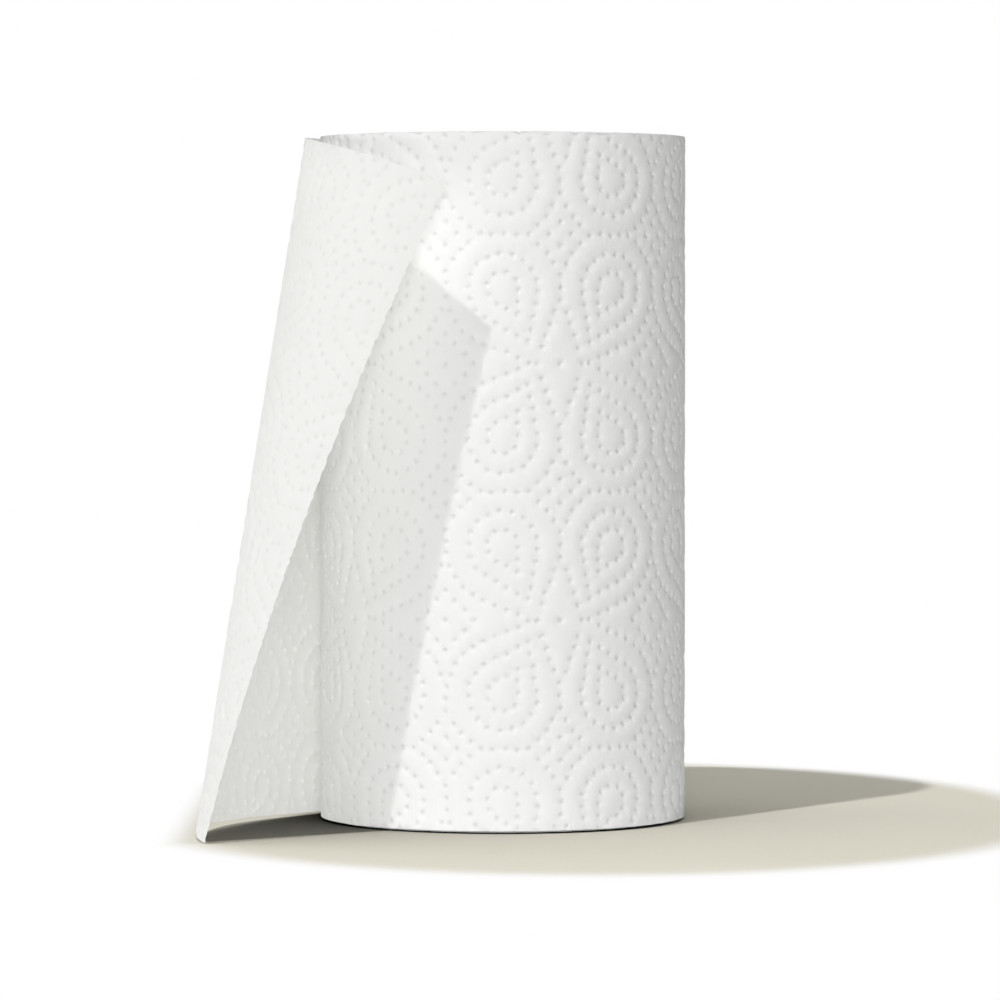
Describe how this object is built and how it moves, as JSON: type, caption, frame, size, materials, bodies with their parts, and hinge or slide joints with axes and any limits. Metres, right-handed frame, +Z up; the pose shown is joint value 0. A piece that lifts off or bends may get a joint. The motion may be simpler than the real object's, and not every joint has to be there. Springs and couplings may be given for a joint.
{
  "type": "paper towel roll",
  "caption": "Standing roll of white embossed kitchen paper wound on a cardboard core, with the outer sheet peeled part of the way off and curling to a perforated free edge.",
  "frame": {"origin": "on the roll's axis, at the flat end that the roll stands on", "axes": "+Z up along the roll's axis; -Y towards the side from which the loose sheet is seen at the left; +X to the right of that view"},
  "size_m": [0.1581, 0.156, 0.225],
  "materials": {
    "tissue_paper": "matt white two-ply tissue with a dotted emboss",
    "core_cardboard": "matt brown spirally wound card"
  },
  "bodies": {
    "root": {"towel_web": "tissue_paper", "core_tube": "core_cardboard"}
  },
  "joints": []
}
